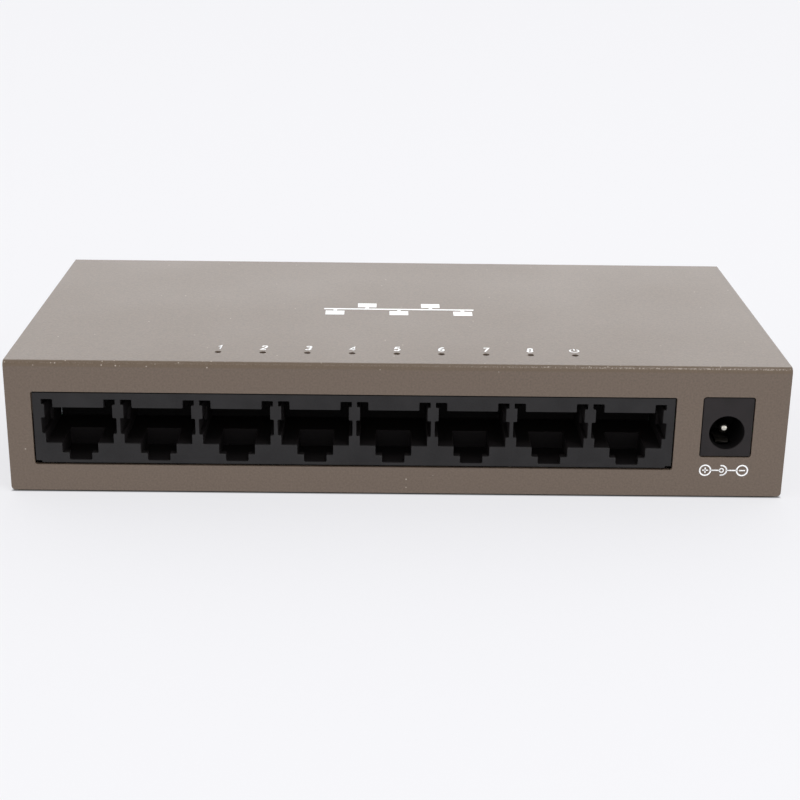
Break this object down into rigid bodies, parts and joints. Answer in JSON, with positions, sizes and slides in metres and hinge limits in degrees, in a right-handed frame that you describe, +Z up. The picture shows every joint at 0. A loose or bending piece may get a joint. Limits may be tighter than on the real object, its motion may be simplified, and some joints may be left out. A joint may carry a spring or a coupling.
{
  "type": "desktop network switch",
  "caption": "Flat folded-steel desktop network switch with a row of modular ports and a power inlet on the front and indicator holes along the top's front edge.",
  "frame": {"origin": "middle of the footprint, on the surface the case stands on", "axes": "+Z up, ports face -Y, +X to the right seen from the front"},
  "size_m": [0.1388, 0.07, 0.0247],
  "materials": {
    "case_cover": "fine-textured powder coat",
    "case_tray": "fine-textured powder coat",
    "plated_screw": "zinc plated",
    "standoff": "zinc plated",
    "insulating_film": "translucent film",
    "blank_label": "blank satin label",
    "solder_mask": "satin solder mask",
    "port_plastic": "moulded, satin",
    "insert_plastic": "moulded, satin",
    "gold_wire": "gold flash over tin",
    "jack_plastic": "moulded, satin",
    "nickel_pin": "nickel plated",
    "tinned_strip": "tinned",
    "clear_acrylic": "clear, polished",
    "shroud_plastic": "moulded, matt",
    "led_package": "clear resin on white base",
    "epoxy_package": "moulded epoxy",
    "can_steel": "drawn can",
    "capacitor_sleeve": "shrunk sleeve",
    "ferrite": "pressed ferrite",
    "fuse_body": "polymer fuse",
    "disc_coating": "dipped coating",
    "resistor_glaze": "glazed ceramic",
    "ceramic_chip": "fired ceramic"
  },
  "bodies": {
    "switch": {"top_cover": "case_cover", "base_tray": "case_tray", "cover_screws": "plated_screw", "board_standoffs": "standoff", "board_screws": "plated_screw", "insulating_sheet": "insulating_film", "underside_label": "blank_label", "circuit_board": "solder_mask", "port_housing": "port_plastic", "contact_inserts": "insert_plastic", "port_terminals": "gold_wire", "dc_jack_housing": "jack_plastic", "dc_jack_pin": "nickel_pin", "dc_jack_terminals": "tinned_strip", "light_guide": "clear_acrylic", "light_shroud": "shroud_plastic", "status_leds": "led_package", "transformers": "epoxy_package", "switch_chip": "epoxy_package", "crystal": "can_steel", "setup_memory": "epoxy_package", "bulk_capacitors": "capacitor_sleeve", "power_inductor": "ferrite", "regulator_chip": "epoxy_package", "input_diode": "epoxy_package", "input_fuse": "fuse_body", "surge_capacitor": "disc_coating", "chip_resistors": "resistor_glaze", "chip_capacitors": "ceramic_chip"},
    "port_1_springs": {"port_1_contacts": "gold_wire"},
    "port_2_springs": {"port_2_contacts": "gold_wire"},
    "port_3_springs": {"port_3_contacts": "gold_wire"},
    "port_4_springs": {"port_4_contacts": "gold_wire"},
    "port_5_springs": {"port_5_contacts": "gold_wire"},
    "port_6_springs": {"port_6_contacts": "gold_wire"},
    "port_7_springs": {"port_7_contacts": "gold_wire"},
    "port_8_springs": {"port_8_contacts": "gold_wire"},
    "inlet_spring": {"dc_jack_spring": "tinned_strip"}
  },
  "joints": [
    {"name": "port_1_contact_flex", "type": "hinge", "parent": "switch", "child": "port_1_springs", "pos_m": [-0.05665, -0.03175, 0.0157], "axis": [1, 0, 0], "range_deg": [0, 8], "stiffness_Nm_per_rad": 0.05},
    {"name": "port_2_contact_flex", "type": "hinge", "parent": "switch", "child": "port_2_springs", "pos_m": [-0.04267, -0.03175, 0.0157], "axis": [1, 0, 0], "range_deg": [0, 8], "stiffness_Nm_per_rad": 0.05},
    {"name": "port_3_contact_flex", "type": "hinge", "parent": "switch", "child": "port_3_springs", "pos_m": [-0.02871, -0.03175, 0.0157], "axis": [1, 0, 0], "range_deg": [0, 8], "stiffness_Nm_per_rad": 0.05},
    {"name": "port_4_contact_flex", "type": "hinge", "parent": "switch", "child": "port_4_springs", "pos_m": [-0.01473, -0.03175, 0.0157], "axis": [1, 0, 0], "range_deg": [0, 8], "stiffness_Nm_per_rad": 0.05},
    {"name": "port_5_contact_flex", "type": "hinge", "parent": "switch", "child": "port_5_springs", "pos_m": [-0.00076, -0.03175, 0.0157], "axis": [1, 0, 0], "range_deg": [0, 8], "stiffness_Nm_per_rad": 0.05},
    {"name": "port_6_contact_flex", "type": "hinge", "parent": "switch", "child": "port_6_springs", "pos_m": [0.0132, -0.03175, 0.0157], "axis": [1, 0, 0], "range_deg": [0, 8], "stiffness_Nm_per_rad": 0.05},
    {"name": "port_7_contact_flex", "type": "hinge", "parent": "switch", "child": "port_7_springs", "pos_m": [0.02718, -0.03175, 0.0157], "axis": [1, 0, 0], "range_deg": [0, 8], "stiffness_Nm_per_rad": 0.05},
    {"name": "port_8_contact_flex", "type": "hinge", "parent": "switch", "child": "port_8_springs", "pos_m": [0.04115, -0.03175, 0.0157], "axis": [1, 0, 0], "range_deg": [0, 8], "stiffness_Nm_per_rad": 0.05},
    {"name": "inlet_contact_flex", "type": "hinge", "parent": "switch", "child": "inlet_spring", "pos_m": [0.0587, -0.0236, 0.00875], "axis": [1, 0, 0], "range_deg": [0, 4], "stiffness_Nm_per_rad": 0.05}
  ]
}
